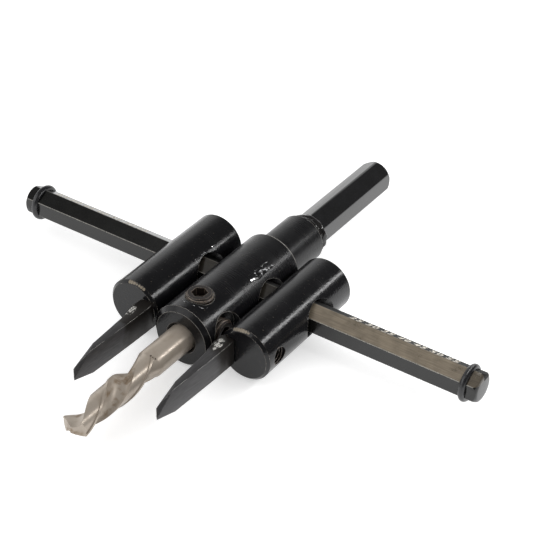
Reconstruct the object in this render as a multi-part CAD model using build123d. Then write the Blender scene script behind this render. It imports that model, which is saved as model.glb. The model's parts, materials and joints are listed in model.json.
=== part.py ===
# Adjustable circle cutter
# A round hub on a hexagon shank carries a hexagon cross bar. Two round posts slide
# on the bar, each holds a ground cutter, and a twist drill pilots the cut.
# Millimetres. X runs along the cross bar, Y along the tool axis from the drill
# point (low Y) to the shank (high Y), Z is up from the surface the tool lies on.

import os
from math import asin, cos, degrees, radians, sin, sqrt, tan

from build123d import *

os.makedirs("parts", exist_ok=True)

# Clearances
RUNNING = 0.05          # radial gap of a piece that slides or turns in its hole
BAR_SLIDE = 0.08        # gap on each flat between the bar and a sliding post
SLACK = 0.3             # grub screw tip stands this far off what it clamps
SEAT_GAP = 0.3          # shoulder or stop face to the face it meets

# Hub, turned in one piece with its collar
HUB_RADIUS = 9.5
HUB_FRONT = -29.2
HUB_REAR = 14.3
HUB_CHAMFER = 1.3
HUB_REAR_CHAMFER = 0.5
BORE_MOUTH = 0.8        # countersink of the pilot bore at the front face
COLLAR_RADIUS = 7.3
COLLAR_END = 30.6
COLLAR_CHAMFER = 0.7

# Hexagon shank, with a round spigot brazed into the collar
SHANK_FLATS = 9.5
SHANK_END = 72.5
SHANK_END_ROUND = 2.4
SHANK_EDGE_ROUND = 0.9
SPIGOT_RADIUS = 4.5
SPIGOT_LENGTH = 12.0
SPIGOT_END_GAP = 0.5
BRAZE_GAP = 0.03
BEAD_LENGTH = 3.8
BEAD_FOOT_RADIUS = 6.7
BEAD_TOP_RADIUS = 5.5
BEAD_BULGE = 0.4

# Hexagon cross bar, corners up and down, flats towards the point and the shank
BAR_FLATS = 8.0
BAR_HALF = 76.7
BAR_EDGE_ROUND = 0.3
BAR_END_RADIUS = 3.0
BAR_DOME = 1.5          # length of the rounded ends
BAR_DOME_CROWN = 0.95
GROOVE_INSET = 4.1
GROOVE_WIDTH = 2.1
GROOVE_RADIUS = 3.4
RING_WIRE_RADIUS = 1.0
RING_SPLIT = 1.6

# Posts
POST_RADIUS = 8.0
POST_FRONT = -25.3
POST_REAR = 16.0
POST_CHAMFER = 0.8
POST_X_LEFT = -19.2
POST_X_RIGHT = 18.0
MOUTH_RADIUS = 6.0      # countersink of the bar holes in posts and hub
MOUTH_DEPTH = 2.0
MOUTH_BULGE = 0.5       # how far its arc stands off the straight cone

# Cutters, two alike, each in a square pocket on the side of its post nearest the hub
CUTTER_OFFSET = 5.0
CUTTER_THICK = 3.1
CUTTER_HEIGHT = 7.7
CUTTER_SHANK_END = -9.5
POCKET_END = -8.7
SHOULDER_FRONT = -29.4
SHOULDER_THICK = 4.1
SHOULDER_DROP = 0.35
SHOULDER_ROUND = 0.3
BLADE_ROOT = -34.5
BLADE_ROOT_SIDES = (-1.15, 1.95)
BLADE_TIP_SIDES = (0.1, 1.0)
BLADE_TIP_ENDS = (-57.3, -58.2)
BLADE_TIP_TOP = 1.1
BLADE_TIP_LOW = -1.8
BLADE_TIP_LAND = 0.3
BLADE_SLOPE_STARTS = (-48.5, -51.6)
BLADE_BEVEL_START = -50.8

# Pilot drill
DRILL_RADIUS = 4.0
DRILL_BODY_RADIUS = 3.66
DRILL_TIP = -75.5
DRILL_END = -11.2
DRILL_HAND = -1
DRILL_LEAD = 41.0
FLUTE_LENGTH = 32.5
FLUTE_RUNOUT = 15.0
FLUTE_ANGLE = 106.0
WEB_HALF = 0.85
MARGIN_ANGLE = 10.0
LIP_CORNER_ANGLE = -38.0
POINT_ANGLE = 135.0
LIP_RELIEF = 12.0
DRILL_FLAT_DEPTH = 0.8
DRILL_FLAT_START = -27.0
DRILL_RUNOUT_SHARE = 0.3    # how shallow the flutes are halfway along their run-out
BORE_END = -10.6

# Grub screws: major radius, socket across flats, socket depth
M8_RADIUS = 4.0
M8_SOCKET = 4.0
M8_SOCKET_DEPTH = 2.6
M5_RADIUS = 2.5
M5_SOCKET = 2.5
M5_SOCKET_DEPTH = 2.2
SCREW_CHAMFER = 0.55
SIDE_HOLE_COUNTERSINK = 1.4     # measured from the top of the round hub
PILOT_SCREW_Y = -20.6
TOP_SCREW_PROUD = 0.8
SIDE_SCREW_RECESS = 1.0
BAR_SCREW_LENGTH = 6.0
POST_SCREW_RECESS = 1.7
CUTTER_SCREW_RECESS = 3.1
CUTTER_SCREW_Y = -19.9

# Cutting tools of the model: overshoot past a face, and size of the large blocks
OVER = 1.0
BLOCK = 60.0

# The tool lies with the hub on the surface; the origin is under the middle of the box
BAR_Y = -(DRILL_TIP + SHANK_END) / 2
AXIS_Z = HUB_RADIUS
PLACE = Pos(0, BAR_Y, AXIS_Z)


def rod_y(radius, y0, y1, x=0.0, z=0.0):
    """Round bar along Y."""
    return Pos(x, (y0 + y1) / 2, z) * Rot(90, 0, 0) * Cylinder(radius, y1 - y0)


def rod_x(radius, x0, x1, y=0.0, z=0.0):
    """Round bar along X."""
    return Pos((x0 + x1) / 2, y, z) * Rot(0, 90, 0) * Cylinder(radius, x1 - x0)


def box_between(low, high):
    """Box from its low corner to its high corner."""
    size = [b - a for a, b in zip(low, high)]
    centre = [(a + b) / 2 for a, b in zip(low, high)]
    return Pos(*centre) * Box(*size)


def hexagon(flats, edge_round=0.0):
    """Hexagon with two corners on its vertical axis, and rounded corners if asked."""
    outline = RegularPolygon(flats / sqrt(3), 6, rotation=30)
    return fillet(outline.vertices(), edge_round) if edge_round else outline


def hex_x(flats, x0, x1, edge_round=0.0):
    """Hexagon prism along X with corners up and down."""
    return Pos(x0, 0, 0) * extrude(Plane.YZ * hexagon(flats, edge_round), x1 - x0)


def hex_y(flats, y0, y1, edge_round=0.0):
    """Hexagon prism along Y with corners up and down."""
    return Pos(0, y1, 0) * extrude(Plane.XZ * hexagon(flats, edge_round), y1 - y0)


def turned_y(points):
    """Solid turned about the Y axis from (radius, y) corners."""
    outline = make_face(Polyline(*points, close=True))
    return revolve(outline, Axis.Y)


def turned_x(points):
    """Solid turned about the X axis from (x, radius) corners."""
    outline = make_face(Polyline(*points, close=True))
    return revolve(outline, Axis.X)


def grub_screw(radius, length, socket, socket_depth):
    """Headless screw along Z: tip at zero, hexagon socket at the top."""
    body = Pos(0, 0, length / 2) * Cylinder(radius, length)
    body = chamfer(body.edges().filter_by(GeomType.CIRCLE), SCREW_CHAMFER)
    key = RegularPolygon(socket / sqrt(3), 6)
    body -= Pos(0, 0, length - socket_depth) * extrude(key, socket_depth + 1)
    cup = Pos(0, 0, radius * 0.2) * Cone(radius * 0.55, radius * 0.15, radius * 0.4)
    return body - cup


def mouth_x(x, side):
    """Rounded countersink that opens a hexagon hole at x, towards one side."""
    inner = x - side * MOUTH_DEPTH
    outer = x + side * MOUTH_DEPTH
    throat = BAR_FLATS / 2
    middle = (x - side * (MOUTH_DEPTH / 2 - MOUTH_BULGE), (MOUTH_RADIUS + throat) / 2)
    outline = make_face(
        [
            ThreePointArc((x, MOUTH_RADIUS), middle, (inner, throat)),
            Line((inner, throat), (inner, 0)),
            Line((inner, 0), (outer, 0)),
            Line((outer, 0), (outer, MOUTH_RADIUS)),
            Line((outer, MOUTH_RADIUS), (x, MOUTH_RADIUS)),
        ]
    )
    return revolve(outline, Axis.X)


# Hub with collar
hub = turned_y(
    [
        (0, HUB_FRONT),
        (HUB_RADIUS - HUB_CHAMFER, HUB_FRONT),
        (HUB_RADIUS, HUB_FRONT + HUB_CHAMFER),
        (HUB_RADIUS, HUB_REAR - HUB_REAR_CHAMFER),
        (HUB_RADIUS - HUB_REAR_CHAMFER, HUB_REAR),
        (COLLAR_RADIUS, HUB_REAR),
        (COLLAR_RADIUS, COLLAR_END - COLLAR_CHAMFER),
        (COLLAR_RADIUS - COLLAR_CHAMFER, COLLAR_END),
        (0, COLLAR_END),
    ]
)
bore_radius = DRILL_RADIUS + RUNNING
hub -= rod_y(bore_radius, HUB_FRONT - OVER, BORE_END)
hub -= turned_y(
    [
        (0, HUB_FRONT - OVER),
        (bore_radius + BORE_MOUTH + OVER, HUB_FRONT - OVER),
        (bore_radius, HUB_FRONT + BORE_MOUTH),
        (0, HUB_FRONT + BORE_MOUTH),
    ]
)
tapped_m8 = M8_RADIUS + RUNNING
hub -= rod_y(tapped_m8, BORE_END - OVER, 0)
hub -= Pos(0, PILOT_SCREW_Y, HUB_RADIUS / 2 + OVER) * Cylinder(tapped_m8, HUB_RADIUS + 2 * OVER)
hub -= rod_x(tapped_m8, 0, HUB_RADIUS + OVER, PILOT_SCREW_Y)
side_countersink = turned_x(
    [
        (HUB_RADIUS - SIDE_HOLE_COUNTERSINK, 0),
        (HUB_RADIUS - SIDE_HOLE_COUNTERSINK, tapped_m8),
        (HUB_RADIUS + OVER, tapped_m8 + SIDE_HOLE_COUNTERSINK + OVER),
        (HUB_RADIUS + OVER, 0),
    ]
)
hub -= Pos(0, PILOT_SCREW_Y, 0) * side_countersink
hub -= hex_x(BAR_FLATS, -HUB_RADIUS - OVER, HUB_RADIUS + OVER)
for side in (-1, 1):
    hub -= mouth_x(side * HUB_RADIUS, side)
socket_floor = COLLAR_END - SPIGOT_LENGTH - SPIGOT_END_GAP
hub -= rod_y(SPIGOT_RADIUS + BRAZE_GAP, socket_floor, COLLAR_END + OVER)

# Hexagon shank with a crowned end, and a round spigot through the bead into the collar
bead_end = COLLAR_END + BEAD_LENGTH
shank = hex_y(SHANK_FLATS, bead_end, SHANK_END, SHANK_EDGE_ROUND)
corner_radius = SHANK_FLATS / sqrt(3)
crown_start = (corner_radius, SHANK_END - SHANK_END_ROUND)
crown_end = (corner_radius - SHANK_END_ROUND, SHANK_END)
crown_inset = SHANK_END_ROUND * (1 - sqrt(0.5))
crown_mid = (corner_radius - crown_inset, SHANK_END - crown_inset)
crown = make_face(
    [
        Line((0, COLLAR_END), (corner_radius, COLLAR_END)),
        Line((corner_radius, COLLAR_END), crown_start),
        ThreePointArc(crown_start, crown_mid, crown_end),
        Line(crown_end, (0, SHANK_END)),
        Line((0, SHANK_END), (0, COLLAR_END)),
    ]
)
shank &= revolve(crown, Axis.Y)
shank += rod_y(SPIGOT_RADIUS, COLLAR_END - SPIGOT_LENGTH, bead_end)

# Braze bead round the spigot, in two rounded steps
bead_foot = (BEAD_FOOT_RADIUS, COLLAR_END)
bead_mid = ((BEAD_FOOT_RADIUS + BEAD_TOP_RADIUS) / 2, COLLAR_END + BEAD_LENGTH / 2)
bead_top = (BEAD_TOP_RADIUS, bead_end)
bead_outline = make_face(
    [
        Line((0, COLLAR_END), bead_foot),
        ThreePointArc(bead_foot, (BEAD_FOOT_RADIUS, COLLAR_END + BEAD_LENGTH / 4), bead_mid),
        ThreePointArc(bead_mid, (BEAD_TOP_RADIUS + BEAD_BULGE, bead_end - BEAD_LENGTH / 4), bead_top),
        Line(bead_top, (0, bead_end)),
        Line((0, bead_end), (0, COLLAR_END)),
    ]
)
bead = revolve(bead_outline, Axis.Y)
bead -= rod_y(SPIGOT_RADIUS, COLLAR_END - OVER, bead_end + OVER)

# Cross bar with domed ends and ring grooves
bar = hex_x(BAR_FLATS, -BAR_HALF, BAR_HALF, BAR_EDGE_ROUND)
bar_corner = BAR_FLATS / sqrt(3)
dome_foot = BAR_HALF - BAR_DOME
bar_end = Line((BAR_HALF, 0), (BAR_HALF, BAR_END_RADIUS))
bar_round = ThreePointArc(
    (BAR_HALF, BAR_END_RADIUS),
    (BAR_HALF - BAR_DOME * (1 - sqrt(0.5)), BAR_END_RADIUS + BAR_DOME_CROWN),
    (dome_foot, bar_corner),
)
bar_top = Line((dome_foot, bar_corner), (0, bar_corner))
bar_middle = Line((0, bar_corner), (0, 0))
dome_half = make_face([bar_middle, Line((0, 0), (BAR_HALF, 0)), bar_end, bar_round, bar_top])
dome = dome_half + mirror(dome_half, Plane.YZ)
bar &= revolve(dome, Axis.X)
groove_centre = BAR_HALF - GROOVE_INSET
for side in (-1, 1):
    centre = side * groove_centre
    blank = rod_x(bar_corner + OVER, centre - GROOVE_WIDTH / 2, centre + GROOVE_WIDTH / 2)
    bar -= blank - rod_x(GROOVE_RADIUS, centre - GROOVE_WIDTH, centre + GROOVE_WIDTH)

# Split wire rings in the grooves
ring_path = GROOVE_RADIUS + RING_WIRE_RADIUS
ring = Rot(0, 90, 0) * Torus(ring_path, RING_WIRE_RADIUS)
ring_reach = ring_path + RING_WIRE_RADIUS + OVER
ring -= box_between((-ring_reach, -RING_SPLIT / 2, -ring_reach), (ring_reach, RING_SPLIT / 2, 0))
ring_left = Pos(-groove_centre, 0, 0) * ring
ring_right = Pos(groove_centre, 0, 0) * ring

# Post, drawn for the right side with the hub towards low X
post = rod_y(POST_RADIUS, POST_FRONT, POST_REAR)
post = chamfer(post.edges().filter_by(GeomType.CIRCLE), POST_CHAMFER)
post -= hex_x(BAR_FLATS + 2 * BAR_SLIDE, -POST_RADIUS - OVER, POST_RADIUS + OVER)
for side in (-1, 1):
    post -= mouth_x(side * POST_RADIUS, side)
pocket_side = CUTTER_THICK / 2 + RUNNING
pocket_top = CUTTER_HEIGHT / 2 + RUNNING
post -= box_between(
    (-CUTTER_OFFSET - pocket_side, POST_FRONT - OVER, -pocket_top),
    (-CUTTER_OFFSET + pocket_side, POCKET_END, pocket_top),
)
post -= rod_x(M5_RADIUS + RUNNING, -CUTTER_OFFSET, POST_RADIUS + OVER, CUTTER_SCREW_Y)
post -= rod_y(tapped_m8, 0, POST_REAR + OVER)

# Cutter: pocket shank, shoulder and a blade ground to a point at one side
blade_rear = SHOULDER_FRONT + OVER
blade_front = BLADE_TIP_ENDS[1] - OVER
profile = make_face(
    Polyline(
        (blade_rear, CUTTER_HEIGHT / 2),
        (blade_front, CUTTER_HEIGHT / 2),
        (blade_front, BLADE_TIP_LOW),
        (BLADE_TIP_ENDS[1], BLADE_TIP_LOW),
        (BLADE_BEVEL_START, -CUTTER_HEIGHT / 2),
        (blade_rear, -CUTTER_HEIGHT / 2),
        close=True,
    )
)
plan = make_face(
    Polyline(
        (BLADE_TIP_SIDES[0], BLADE_TIP_ENDS[0]),
        (BLADE_TIP_SIDES[1], BLADE_TIP_ENDS[1]),
        (BLADE_ROOT_SIDES[1], BLADE_ROOT),
        (SHOULDER_THICK / 2, SHOULDER_FRONT),
        (SHOULDER_THICK / 2, blade_rear),
        (-SHOULDER_THICK / 2, blade_rear),
        (-SHOULDER_THICK / 2, SHOULDER_FRONT),
        (BLADE_ROOT_SIDES[0], BLADE_ROOT),
        close=True,
    )
)
blade = extrude(Plane.YZ * profile, SHOULDER_THICK, both=True)
blade &= extrude(Plane.XY * plan, CUTTER_HEIGHT, both=True)


big_block = Pos(0, 0, BLOCK / 2) * Box(BLOCK, BLOCK, BLOCK)


def blade_side(y, side):
    """X of one side of the blade at a place along it."""
    run = (y - BLADE_TIP_ENDS[side]) / (BLADE_ROOT - BLADE_TIP_ENDS[side])
    return BLADE_TIP_SIDES[side] + run * (BLADE_ROOT_SIDES[side] - BLADE_TIP_SIDES[side])


def beyond(first, second, third):
    """Block on the far side of the plane through three points."""
    start, along, across = Vector(first), Vector(second), Vector(third)
    facing = (along - start).cross(across - start)
    return Plane(start, along - start, facing) * big_block


slope_left, slope_right = BLADE_SLOPE_STARTS
top_left = (blade_side(slope_left, 0), slope_left, CUTTER_HEIGHT / 2)
top_right = (blade_side(slope_right, 1), slope_right, CUTTER_HEIGHT / 2)
tip_left = (BLADE_TIP_SIDES[0], BLADE_TIP_ENDS[0], BLADE_TIP_TOP)
tip_right = (BLADE_TIP_SIDES[1], BLADE_TIP_ENDS[1], BLADE_TIP_LOW + BLADE_TIP_LAND)
blade -= beyond(top_left, tip_left, top_right)
blade -= beyond(top_right, tip_left, tip_right)
shoulder = box_between(
    (-SHOULDER_THICK / 2, SHOULDER_FRONT, -CUTTER_HEIGHT / 2 - SHOULDER_DROP),
    (SHOULDER_THICK / 2, POST_FRONT - SEAT_GAP, CUTTER_HEIGHT / 2),
)
shoulder = chamfer(shoulder.edges().group_by(Axis.Z)[0], SHOULDER_ROUND)
cutter_shank = box_between(
    (-CUTTER_THICK / 2, SHOULDER_FRONT, -CUTTER_HEIGHT / 2),
    (CUTTER_THICK / 2, CUTTER_SHANK_END, CUTTER_HEIGHT / 2),
)
cutter = blade + shoulder + cutter_shank

# Pilot drill, drawn along Z with the point at zero and the shank below
flute_turn = 360 * FLUTE_LENGTH / DRILL_LEAD
drill_length = DRILL_END - DRILL_TIP


def polar(radius, angle):
    """Point of the drill section from its radius and angle."""
    return (radius * cos(radians(angle)), radius * sin(radians(angle)))


lip_angle = degrees(asin(WEB_HALF / DRILL_RADIUS))
heel_angle = lip_angle + FLUTE_ANGLE
outside = DRILL_RADIUS + OVER
heel = polar(outside, heel_angle)
heel_wall = polar(DRILL_RADIUS * 0.62, heel_angle + 8)
flute_outline = make_face(
    [
        Line((outside, WEB_HALF), (1.3, WEB_HALF)),
        ThreePointArc((1.3, WEB_HALF), (-0.35, 1.2), heel_wall),
        Line(heel_wall, heel),
        Line(heel, (outside, outside)),
        Line((outside, outside), (outside, WEB_HALF)),
    ]
)
margin_wedge = make_face(
    Polyline(
        (0, 0),
        polar(DRILL_RADIUS * 1.5, lip_angle),
        polar(DRILL_RADIUS * 1.5, lip_angle - MARGIN_ANGLE),
        close=True,
    )
)
margins = Circle(DRILL_RADIUS) & (margin_wedge + Rot(0, 0, 180) * margin_wedge)
section = Circle(DRILL_BODY_RADIUS) + margins
section -= flute_outline + Rot(0, 0, 180) * flute_outline
if DRILL_HAND < 0:
    section = mirror(section, Plane.XZ)
fluted = Solid.extrude_linear_with_rotation(
    section.face(),
    (0, 0, 0),
    (0, 0, -FLUTE_LENGTH),
    DRILL_HAND * flute_turn,
)
plain_length = drill_length - FLUTE_LENGTH
stem = Pos(0, 0, -(FLUTE_LENGTH + drill_length) / 2) * Cylinder(DRILL_RADIUS, plain_length)
runout_start = FLUTE_RUNOUT - FLUTE_LENGTH
runout = make_face(
    [
        Line((0, -FLUTE_LENGTH), (DRILL_RADIUS, -FLUTE_LENGTH)),
        ThreePointArc(
            (DRILL_RADIUS, -FLUTE_LENGTH),
            (WEB_HALF + (DRILL_RADIUS - WEB_HALF) * DRILL_RUNOUT_SHARE, runout_start - FLUTE_RUNOUT * 0.5),
            (WEB_HALF * 0.7, runout_start),
        ),
        Line((WEB_HALF * 0.7, runout_start), (0, runout_start)),
        Line((0, runout_start), (0, -FLUTE_LENGTH)),
    ]
)
drill = fluted + stem + revolve(Plane.XZ * runout, Axis.Z)
lip_rise = 1 / tan(radians(POINT_ANGLE / 2))
for turn in (0, 180):
    facet = Plane(
        origin=(0, 0, 0),
        x_dir=(1, 0, -lip_rise),
        z_dir=(lip_rise, -DRILL_HAND * tan(radians(LIP_RELIEF)), 1),
    )
    drill -= Rot(0, 0, turn) * facet * big_block
drill = Rot(0, 0, LIP_CORNER_ANGLE - DRILL_HAND * lip_angle) * drill
drill -= box_between(
    (DRILL_RADIUS - DRILL_FLAT_DEPTH, -DRILL_RADIUS, -drill_length - OVER),
    (DRILL_RADIUS + OVER, DRILL_RADIUS, DRILL_TIP - DRILL_FLAT_START),
)
drill = Pos(0, DRILL_TIP, 0) * Rot(90, 0, 0) * drill

# Grub screws, each from the face it clamps to its place in its hole
top_tip = DRILL_RADIUS + SLACK
side_tip = DRILL_RADIUS - DRILL_FLAT_DEPTH + SLACK
bar_tip = BAR_FLATS / 2 + SLACK
cutter_tip = -CUTTER_OFFSET + CUTTER_THICK / 2 + SLACK
screw_top = grub_screw(M8_RADIUS, HUB_RADIUS + TOP_SCREW_PROUD - top_tip, M8_SOCKET, M8_SOCKET_DEPTH)
screw_top = Pos(0, PILOT_SCREW_Y, top_tip) * screw_top
screw_side = grub_screw(M8_RADIUS, HUB_RADIUS - SIDE_SCREW_RECESS - side_tip, M8_SOCKET, M8_SOCKET_DEPTH)
screw_side = Pos(side_tip, PILOT_SCREW_Y, 0) * Rot(0, 90, 0) * screw_side
screw_bar = Rot(90, 0, 0) * grub_screw(M8_RADIUS, BAR_SCREW_LENGTH, M8_SOCKET, M8_SOCKET_DEPTH)
screw_bar = Pos(0, -bar_tip, 0) * screw_bar
screw_post = grub_screw(M8_RADIUS, POST_REAR - POST_SCREW_RECESS - bar_tip, M8_SOCKET, M8_SOCKET_DEPTH)
screw_post = Pos(0, bar_tip, 0) * Rot(-90, 0, 0) * screw_post
cutter_screw_length = POST_RADIUS - CUTTER_SCREW_RECESS - cutter_tip
screw_cutter = grub_screw(M5_RADIUS, cutter_screw_length, M5_SOCKET, M5_SOCKET_DEPTH)
screw_cutter = Pos(cutter_tip, CUTTER_SCREW_Y, 0) * Rot(0, 90, 0) * screw_cutter

# Both sides: the left post and its cutter screw are mirror images, the cutters are alike
right_side = Pos(POST_X_RIGHT, 0, 0)
left_side = Pos(POST_X_LEFT, 0, 0)
nodes = {
    "hub": hub,
    "shank": shank,
    "braze_bead": bead,
    "arm_bar": bar,
    "ring_left": ring_left,
    "ring_right": ring_right,
    "post_left": left_side * mirror(post, Plane.YZ),
    "post_right": right_side * post,
    "cutter_left": left_side * Pos(CUTTER_OFFSET, 0, 0) * cutter,
    "cutter_right": right_side * Pos(-CUTTER_OFFSET, 0, 0) * cutter,
    "cutter_screw_left": left_side * mirror(screw_cutter, Plane.YZ),
    "cutter_screw_right": right_side * screw_cutter,
    "post_screw_left": left_side * screw_post,
    "post_screw_right": right_side * screw_post,
    "pilot_drill": drill,
    "pilot_screw_top": screw_top,
    "pilot_screw_side": screw_side,
    "bar_screw": screw_bar,
}

for name, shape in nodes.items():
    export_step(PLACE * shape, f"parts/{name}.step")
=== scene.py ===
"""Looks of an adjustable circle cutter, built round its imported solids.

The tool lies with its hub on the ground. X runs along the cross bar, Y along the
tool axis from drill point to shank, Z is up. Shapes are drawn in millimetres about
the point where bar and tool axis cross, and are put in place in metres at the end.
"""

import json
import math
from functools import partial
from math import cos, pi, radians, sin, sqrt
from types import SimpleNamespace

import bmesh
import bpy
from mathutils import Matrix, Vector, noise

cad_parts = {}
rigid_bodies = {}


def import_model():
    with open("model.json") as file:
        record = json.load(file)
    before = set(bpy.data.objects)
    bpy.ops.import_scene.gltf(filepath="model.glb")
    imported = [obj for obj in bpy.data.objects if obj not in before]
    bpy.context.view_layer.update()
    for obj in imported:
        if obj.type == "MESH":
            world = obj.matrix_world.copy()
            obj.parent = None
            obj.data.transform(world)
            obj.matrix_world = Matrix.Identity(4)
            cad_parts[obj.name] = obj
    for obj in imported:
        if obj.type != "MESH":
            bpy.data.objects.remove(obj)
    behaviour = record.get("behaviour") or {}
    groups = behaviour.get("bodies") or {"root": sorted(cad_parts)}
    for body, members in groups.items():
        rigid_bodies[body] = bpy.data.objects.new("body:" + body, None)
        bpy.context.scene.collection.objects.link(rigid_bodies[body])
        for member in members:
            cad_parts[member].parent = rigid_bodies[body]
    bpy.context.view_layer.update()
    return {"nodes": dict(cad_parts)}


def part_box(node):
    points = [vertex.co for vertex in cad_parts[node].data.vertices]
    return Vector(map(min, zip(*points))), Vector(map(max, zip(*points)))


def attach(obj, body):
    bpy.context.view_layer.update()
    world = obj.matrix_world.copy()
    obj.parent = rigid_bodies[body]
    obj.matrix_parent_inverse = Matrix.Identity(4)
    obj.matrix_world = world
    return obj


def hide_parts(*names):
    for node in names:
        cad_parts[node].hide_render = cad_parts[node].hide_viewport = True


bl_info = {
    "name": "Adjustable Circle Cutter",
    "version": (1, 0, 0),
    "blender": (4, 5, 0),
    "location": "3D View > Sidebar > Circle Cutter",
    "description": "Builds the finished surfaces of an adjustable circle cutter round its packed solids",
    "category": "Object",
}

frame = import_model()
MM = 0.001
HUB_LOW, HUB_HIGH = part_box("hub")
BAR_LOW, BAR_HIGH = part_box("arm_bar")
DRILL_LOW, DRILL_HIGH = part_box("pilot_drill")
SHANK_LOW, SHANK_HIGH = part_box("shank")
AXIS = Vector((0, (BAR_LOW.y + BAR_HIGH.y) / 2, (HUB_LOW.z + HUB_HIGH.z) / 2))
IN_PLACE = Matrix.Translation(AXIS) @ Matrix.Scale(MM, 4)
SIGN = {"left": -1, "right": 1}
POST_X = {side: sum(corner.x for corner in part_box("post_" + side)) / 2 / MM for side in SIGN}

# Places and gaps in mm that several pieces share
PILOT_SCREW_Y = -20.6
CUTTER_SCREW_Y = -19.9
CUTTER_INSET = 5
RING_INSET = 4.1
TURNING_GAP = 0.05
M5_HOLE = 2.5 + TURNING_GAP
M8_HOLE = 4.0 + TURNING_GAP
# A turned solid closes its flat ends on a ring at this share of their radius
CAP = 0.5


def from_bar(place):
    """Distance in mm along the tool axis, from the bar to a place in metres."""
    return (place - AXIS.y) / MM


def linear(hex_colour):
    """Linear RGBA of an sRGB hex colour."""
    channels = [int(hex_colour[i:i + 2], 16) / 255 for i in (1, 3, 5)]
    return tuple(c / 12.92 if c <= 0.04045 else ((c + 0.055) / 1.055) ** 2.4 for c in channels) + (1.0,)


# Sizes and colours that a user may change


def length(name, description, default):
    """Length property with its default in mm."""
    return bpy.props.FloatProperty(
        name=name, description=description, default=default * MM,
        unit="LENGTH", subtype="DISTANCE", precision=5,
    )


def colour(name, description, default):
    """Colour property with its default as a hex value."""
    return bpy.props.FloatVectorProperty(
        name=name, description=description, default=linear(default), size=4, min=0, max=1, subtype="COLOR"
    )


class CUTTER_PG_sizes(bpy.types.PropertyGroup):
    """Driving sizes of the circle cutter"""

    hub_radius: length("Hub radius", "Radius of the turned hub", (HUB_HIGH.x - HUB_LOW.x) / 2 / MM)
    hub_front: length("Hub front", "Front face of the hub, from the bar", from_bar(HUB_LOW.y))
    hub_rear: length("Hub rear", "Rear face of the hub, from the bar", 14.3)
    hub_chamfer: length("Hub chamfer", "Chamfer of the front edge", 1.3)
    collar_radius: length("Collar radius", "Radius of the collar behind the hub", 7.3)
    collar_end: length("Collar end", "Rear face of the collar, from the bar", from_bar(HUB_HIGH.y))
    shank_flats: length("Shank flats", "Hexagon shank across flats", (SHANK_HIGH.x - SHANK_LOW.x) / MM)
    shank_end: length("Shank end", "End of the shank, from the bar", from_bar(SHANK_HIGH.y))
    bead_length: length("Bead length", "Length of the braze bead", 3.8)
    bar_flats: length("Bar flats", "Cross bar across flats", (BAR_HIGH.y - BAR_LOW.y) / MM)
    bar_half: length("Bar half length", "Half the length of the cross bar", BAR_HIGH.x / MM)
    post_radius: length("Post radius", "Radius of the sliding posts", 8.0)
    post_front: length("Post front", "Front face of the posts, from the bar", -25.3)
    post_rear: length("Post rear", "Rear face of the posts, from the bar", 16.0)
    mouth_radius: length("Mouth radius", "Rim of the flared mouths of the bar holes", 6.2)
    drill_radius: length("Drill radius", "Radius of the drill", (DRILL_HIGH.x - DRILL_LOW.x) / 2 / MM)
    drill_tip: length("Drill tip", "Point of the drill, from the bar", from_bar(DRILL_LOW.y))
    drill_end: length("Drill end", "Rear end of the drill, from the bar", from_bar(DRILL_HIGH.y))
    drill_lead: length("Drill lead", "Length of one whole turn of the flutes", 41.0)
    pitch_m8: length("M8 pitch", "Thread pitch of the M8 grub screws", 1.25)
    pitch_m5: length("M5 pitch", "Thread pitch of the M5 grub screws", 0.8)
    mark_spacing: length("Mark spacing", "Spacing of the digits in a number on the bar", 2.05)


class CUTTER_PG_colours(bpy.types.PropertyGroup):
    """Surface colours of the circle cutter"""

    black_finish: colour("Black finish", "Oiled black oxide of hub and posts", "#0d0d0f")
    rubbed_edge: colour("Rubbed edge", "Where the black finish has rubbed off", "#857a69")
    bar_black: colour("Bar black", "Black oxide of the cross bar", "#141413")
    bar_bloom: colour("Bar bloom", "Brown bloom on top of the right arm", "#6f6556")
    shank_grey: colour("Shank grey", "Dark drawn steel of the shank", "#101011")
    cutter_grey: colour("Cutter grey", "Ground flats of the cutters", "#403f40")
    drill_steel: colour("Drill steel", "Warm bright steel of the drill", "#b1a699")
    screw_brown: colour("Screw brown", "Brown-black oxide of the grub screws", "#1d1815")
    scale_white: colour("Scale white", "Filling of the numbers on the bar", "#cfc9bd")


def sizes():
    """Sizes in mm by name."""
    group, names = bpy.context.scene.circle_cutter_sizes, CUTTER_PG_sizes.__annotations__
    return SimpleNamespace(**{name: getattr(group, name) / MM for name in names})


def colours():
    """Colours by name."""
    group, names = bpy.context.scene.circle_cutter_colours, CUTTER_PG_colours.__annotations__
    return SimpleNamespace(**{name: tuple(getattr(group, name)) for name in names})


# Node trees

# Kinds of node, some with an operation or a type of data
ADD, SUBTRACT, MULTIPLY, DIVIDE, MULTIPLY_ADD, MINIMUM, MAXIMUM = (
    "ShaderNodeMath." + operation
    for operation in ("ADD", "SUBTRACT", "MULTIPLY", "DIVIDE", "MULTIPLY_ADD", "MINIMUM", "MAXIMUM")
)
SCALE, STRETCH, LENGTH, DISTANCE, ALIKE = (
    "ShaderNodeVectorMath." + operation
    for operation in ("SCALE", "MULTIPLY", "LENGTH", "DISTANCE", "DOT_PRODUCT")
)
RANGE, NOISE, BUMP, SPLIT, JOIN, COORDINATES, PATH, MIX, BLEND = (
    "ShaderNode" + kind
    for kind in (
        "MapRange", "TexNoise", "Bump", "SeparateXYZ", "CombineXYZ", "TexCoord", "LightPath",
        "Mix.FLOAT", "Mix.RGBA",
    )
)
RANDOM = "FunctionNodeRandomValue."
CIRCLE = "GeometryNodeCurvePrimitiveCircle"
SWEEP = "GeometryNodeCurveToMesh"
PLACE = "GeometryNodeSetPosition"


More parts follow.
